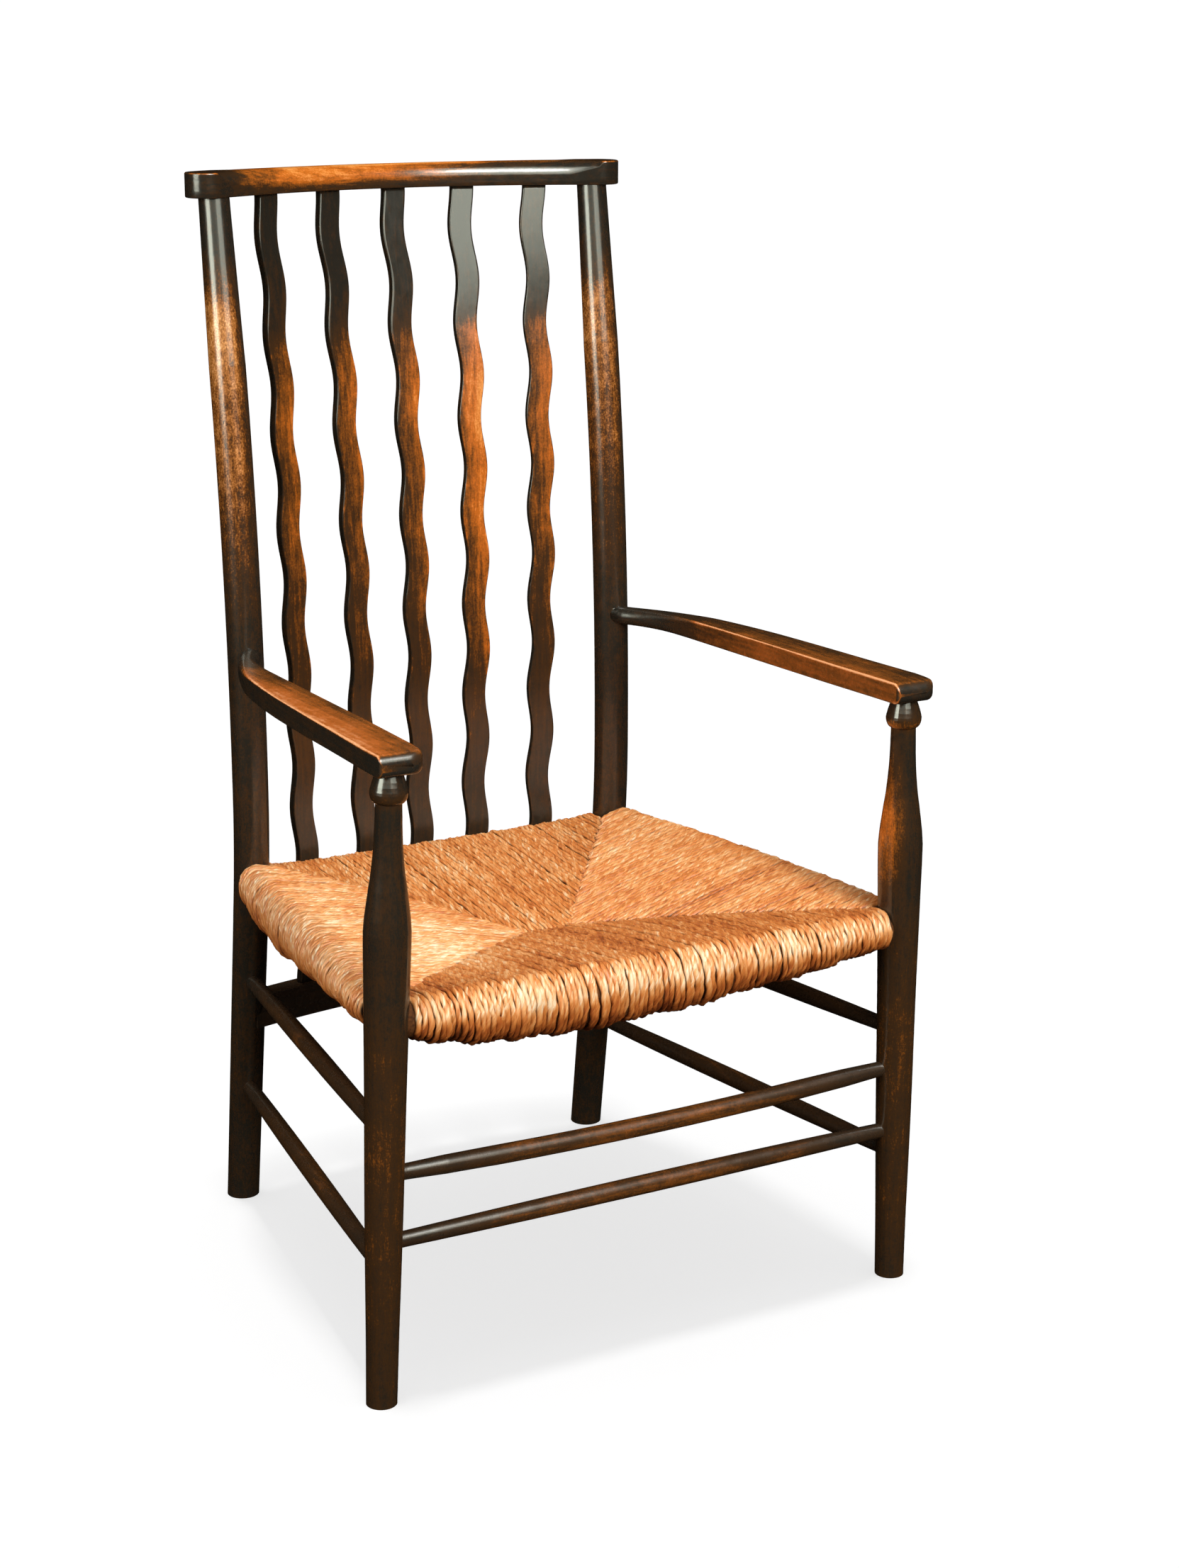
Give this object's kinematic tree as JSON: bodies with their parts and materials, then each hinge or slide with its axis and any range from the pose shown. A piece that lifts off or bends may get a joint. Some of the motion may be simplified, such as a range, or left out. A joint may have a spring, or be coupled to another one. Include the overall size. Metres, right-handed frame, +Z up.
{
  "type": "rush seat armchair",
  "caption": "High-backed wooden armchair with waved back splats, a bowed crest rail, turned front posts that carry flat arms, and a woven rush seat.",
  "frame": {"origin": "centre of the bounding box at floor level", "axes": "+Z up, the chair faces -Y, +X to the right of a person who stands in front and looks at it"},
  "size_m": [0.6006, 0.5904, 1.085],
  "materials": {
    "dark_wood": "glossy ebonised varnish",
    "brown_wood": "glossy shaded varnish",
    "raw_wood": "bare wood",
    "rush": "twisted dry rush",
    "stuffing": "packed loose rush"
  },
  "bodies": {
    "root": {"back_post_left": "brown_wood", "back_post_right": "brown_wood", "front_post_left": "dark_wood", "front_post_right": "dark_wood", "crest_rail": "brown_wood", "splat_1": "brown_wood", "splat_2": "brown_wood", "splat_3": "brown_wood", "splat_4": "brown_wood", "splat_5": "brown_wood", "splat_rail": "dark_wood", "arm_left": "brown_wood", "arm_right": "brown_wood", "seat_rail_front": "raw_wood", "seat_rail_back": "raw_wood", "seat_rail_left": "raw_wood", "seat_rail_right": "raw_wood", "stretcher_front_upper": "dark_wood", "stretcher_front_lower": "dark_wood", "stretcher_left_upper": "dark_wood", "stretcher_left_lower": "dark_wood", "stretcher_right_upper": "dark_wood", "stretcher_right_lower": "dark_wood", "rush_seat": "rush", "stuffing_front": "stuffing", "stuffing_back": "stuffing", "stuffing_left": "stuffing", "stuffing_right": "stuffing"}
  },
  "joints": []
}
